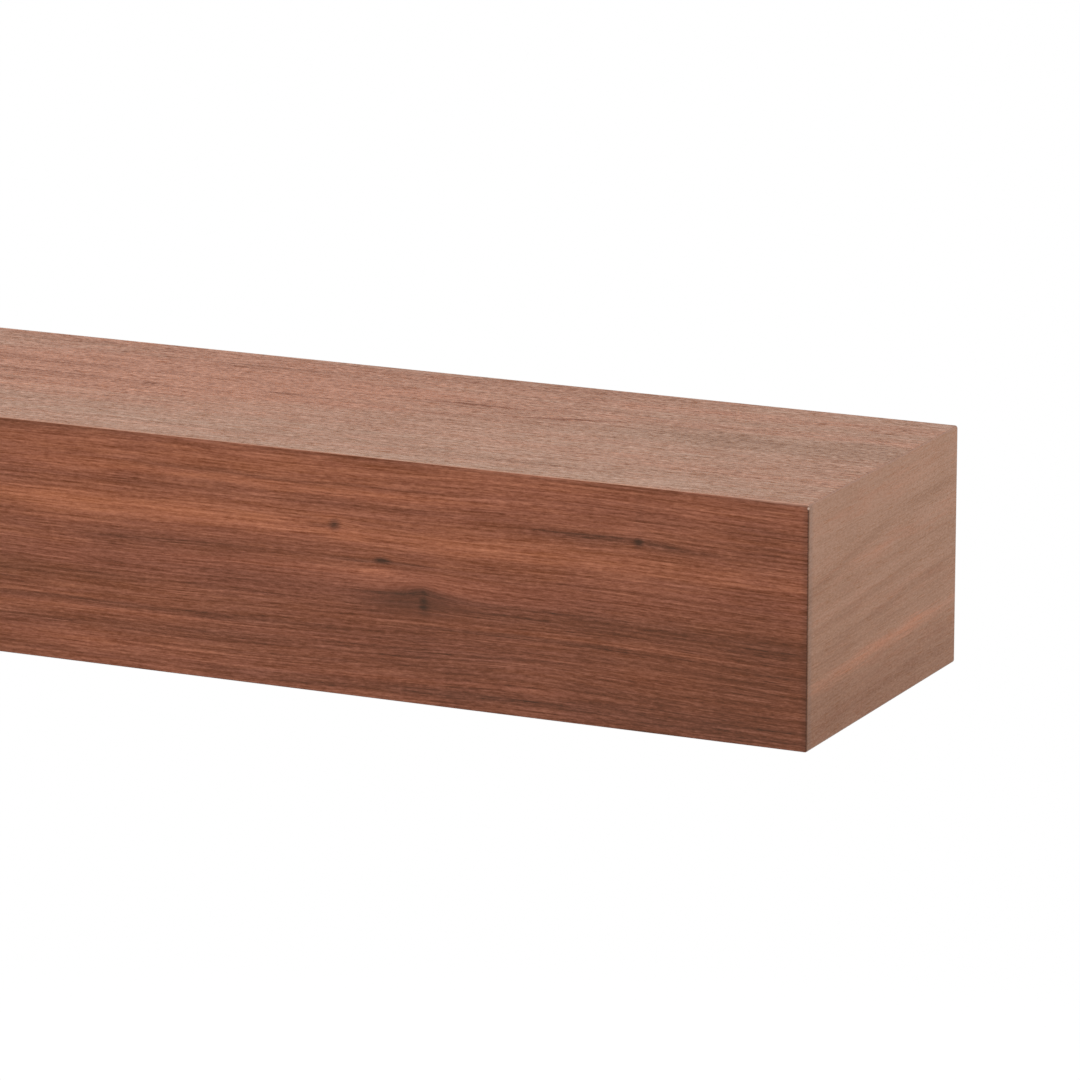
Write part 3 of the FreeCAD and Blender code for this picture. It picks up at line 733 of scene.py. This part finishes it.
def dress_inside():
    """Boards behind the veneers, the dowels, and the pine, each piece from its own place in the log."""
    for side in ("top", "front", "bottom", "left_end", "right_end"):
        dress(fibreboard(side + "_board"), side + "_board")
    dress(beech(), "end_dowels")
    for node, (run, pith) in PITHS.items():
        dress(pine(node, run, pith), node)
    for index, place in enumerate(ROD_PLACES):
        node = place + "_rod_block"
        low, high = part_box(node)
        middle = (low.x + high.x) / 2 / MM
        aside = middle + BLOCK_PITH_STEP[0] * index + BLOCK_PITH[0]
        above = BLOCK_PITH_STEP[1] * index + BLOCK_PITH[1]
        dress(pine(node, BLOCK_RUN, (aside, above)), node)


def ring_mesh(name, rings, looped, material):
    """A piece skinned over equal rings of points, looped back to the first ring or closed at both ends."""
    shape = bmesh.new()
    made = [[shape.verts.new(point) for point in ring] for ring in rings]
    pairs = list(zip(made, made[1:]))
    if looped:
        pairs.append((made[-1], made[0]))
    else:
        shape.faces.new(made[0])
        shape.faces.new(made[-1])
    for lower, upper in pairs:
        for index in range(len(lower)):
            shape.faces.new((lower[index - 1], lower[index], upper[index], upper[index - 1]))
    return finished(name, shape, material)


def finished(name, shape, material):
    """An object from a bmesh, smooth apart from its sharp edges."""
    bmesh.ops.recalc_face_normals(shape, faces=shape.faces)
    for face in shape.faces:
        face.smooth = True
    mesh = bpy.data.meshes.new(name)
    shape.to_mesh(mesh)
    shape.free()
    mesh.set_sharp_from_angle(angle=math.radians(SHARP_ANGLE))
    mesh.materials.append(material)
    piece = bpy.data.objects.new(name, mesh)
    bpy.context.scene.collection.objects.link(piece)
    return piece


def turn_angles(segments):
    """The angles of that many equal steps round a circle."""
    return [FULL_TURN * segment / segments for segment in range(segments)]


def add_weld_bead(place, coat):
    """A rippled fillet bead round the foot of a rod, laid in short overlapping pools."""
    rod_low, rod_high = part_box(place + "_rod")
    weld_low, weld_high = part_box("rod_welds")
    middle = (rod_low.x + rod_high.x) / 2
    inner = (rod_high.z - rod_low.z) / 2
    leg = (weld_high.z - weld_low.z) / 2 - inner
    foot = weld_high.y
    draw = random.Random(place)
    heights = [draw.uniform(*RIPPLE_SPREAD) * BEAD_RIPPLE * leg for _ in range(BEAD_POOLS)]
    rings = [[(inner, foot)] * BEAD_SEGMENTS]
    for step in range(BEAD_STEPS + 1):
        across = step / BEAD_STEPS
        arch = math.sin(math.pi * across)
        ring = []
        for segment in range(BEAD_SEGMENTS):
            pool = BEAD_POOLS * segment / BEAD_SEGMENTS + POOL_LEAN * arch
            swell = BEAD_CROWN * leg + heights[int(pool) % BEAD_POOLS] * math.sin(math.pi * (pool % 1))
            out = swell * arch / math.sqrt(2)
            ring.append((inner + leg * across + out, foot - leg * (1 - across) - out))
        rings.append(ring)
    angles = turn_angles(BEAD_SEGMENTS)
    points = [[
        (middle + radius * math.cos(angle), depth, radius * math.sin(angle))
        for angle, (radius, depth) in zip(angles, ring)
    ] for ring in rings]
    bead = ring_mesh(place + "_weld_bead", points, True, coat)
    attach(bead, "bracket")
    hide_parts("rod_welds")


def thread_radius(radius, height, angle):
    """The radius of a right-hand thread there: flat crests, flat roots and straight flanks."""
    turn = height / THREAD_PITCH - angle / FULL_TURN
    from_crest = abs(2 * (turn % 1) - 1)
    share = min(max((from_crest - CREST_SHARE) / (1 - CREST_SHARE - ROOT_SHARE), 0), 1)
    return radius - share * THREAD_DEPTH * THREAD_PITCH


def hexagon_radius(flat, angle):
    """Distance from the middle to the side of a hexagon, its flats that far from the middle."""
    sixth = FULL_TURN / 6
    return flat / math.cos(angle % sixth - sixth / 2)


def add_lock_screw(side, oxide):
    """A headless screw: threaded, with a chamfered rim and hexagon socket below and a flat point above."""
    low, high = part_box(side + "_lock_screw")
    centre = (low + high) / 2
    radius = (high.x - low.x) / 2
    length = high.z - low.z
    chamfer = THREAD_DEPTH * THREAD_PITCH
    bevel = SOCKET_BEVEL * chamfer
    rows = math.ceil(length / THREAD_PITCH * THREAD_ROWS)

    def socket(height, angle):
        return hexagon_radius(SOCKET_FLAT, angle)

    def socket_rim(height, angle):
        return hexagon_radius(SOCKET_FLAT, angle) + bevel

    def outside(height, angle):
        rim = radius - chamfer + height
        point = radius - POINT_CHAMFER + length - height
        return min(thread_radius(radius, height, angle), rim, point)

    profile = [(SOCKET_DEPTH, socket), (bevel, socket), (0, socket_rim)]
    profile += [(length * row / rows, outside) for row in range(rows + 1)]
    points = [[
        (
            centre.x + measure(height, angle) * math.cos(angle),
            centre.y + measure(height, angle) * math.sin(angle),
            low.z + height,
        )
        for angle in turn_angles(SCREW_SEGMENTS)
    ] for height, measure in profile]
    screw = ring_mesh(side + "_threaded_screw", points, False, oxide)
    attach(screw, side + "_lock")
    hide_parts(side + "_lock_screw")


def dress_metal():
    """The inserts, the bracket with its weld beads, and the lock screws."""
    brass = turned_metal("turned_brass", "right_lock_insert", BRASS_TONES, roughness=0.28, groove=0.02)
    oxide = turned_metal("black_oxide", "right_lock_screw", OXIDE_TONES, roughness=0.40, groove=0.01)
    coat = powder_coat("wall_plate", worn_tip=False)
    dress(brass, "left_lock_insert", "right_lock_insert")
    dress(coat, "wall_plate")
    for place in ROD_PLACES:
        dress(powder_coat(place + "_rod", worn_tip=True), place + "_rod")
        add_weld_bead(place, coat)
    for side in ("left", "right"):
        add_lock_screw(side, oxide)


def add_floor():
    """A pale round floor that fades out at its rim, and isn't seen from beneath."""
    mesh = bpy.data.meshes.new("floor")
    shape = bmesh.new()
    bmesh.ops.create_circle(shape, cap_ends=True, segments=FLOOR_SEGMENTS, radius=FLOOR_RADIUS)
    shape.to_mesh(mesh)
    shape.free()
    floor = bpy.data.objects.new("floor", mesh)
    floor.location = (0, 0, FLOOR_LEVEL)
    bpy.context.scene.collection.objects.link(floor)
    material, g = new_graph("floor_paper")
    spot = g.node("TexCoord").outputs["Object"]
    fade = g.remap(g.vector("LENGTH", spot), FLOOR_FADE_START, FLOOR_RADIUS)
    beneath = g.node("NewGeometry").outputs["Backfacing"]
    paper = g.node("BsdfDiffuse", {"Color": paint(FLOOR_GREY, FLOOR_GREY, FLOOR_GREY)}).outputs[0]
    clear = g.node("BsdfTransparent").outputs[0]
    g.show(g.node("MixShader", {0: g.math("MAXIMUM", fade, beneath), 1: paper, 2: clear}).outputs[0])
    mesh.materials.append(material)


def add_light():
    """An even pale surround, plain white where the camera or a gloss sees it, and one broad sun."""
    world = bpy.data.worlds.new("studio")
    bpy.context.scene.world = world
    g = Graph(world)
    path = g.node("LightPath").outputs
    seen = g.math("MAXIMUM", path["Is Camera Ray"], path["Is Glossy Ray"])
    seen = g.math("MAXIMUM", seen, path["Is Transmission Ray"])
    strength = g.math("MULTIPLY_ADD", seen, 1 - AMBIENT, AMBIENT)
    g.show(g.node("Background", {"Color": (1, 1, 1, 1), "Strength": strength}).outputs[0], "OutputWorld")
    lamp = bpy.data.lights.new("sun", "SUN")
    lamp.energy = SUN_STRENGTH
    lamp.angle = math.radians(SUN_WIDTH)
    sun = bpy.data.objects.new("sun", lamp)
    sun.rotation_euler = Vector(SUN_FROM).to_track_quat("Z", "Y").to_euler()
    bpy.context.scene.collection.objects.link(sun)


def add_camera():
    """The front top right corner shows at its pixel of the photograph, at its fitted distance."""
    data = bpy.data.cameras.new("camera")
    data.sensor_width = SENSOR_WIDTH
    data.lens = FOCAL_PIXELS / IMAGE_SIZE * SENSOR_WIDTH
    camera = bpy.data.objects.new("camera", data)
    camera.rotation_euler = (math.radians(90 - VIEW_ELEVATION), 0, math.radians(VIEW_AZIMUTH))
    right = CORNER_PIXEL[0] - IMAGE_SIZE / 2
    down = CORNER_PIXEL[1] - IMAGE_SIZE / 2
    ray = camera.rotation_euler.to_matrix() @ Vector((right, -down, -FOCAL_PIXELS)) / FOCAL_PIXELS
    camera.location = Vector((cad_high.x, cad_low.y, cad_high.z)) - CORNER_DISTANCE * ray
    bpy.context.scene.collection.objects.link(camera)
    bpy.context.scene.camera = camera


dress_veneers()
dress_inside()
dress_metal()
add_floor()
add_light()
add_camera()
bpy.context.scene.view_settings.view_transform = "Standard"
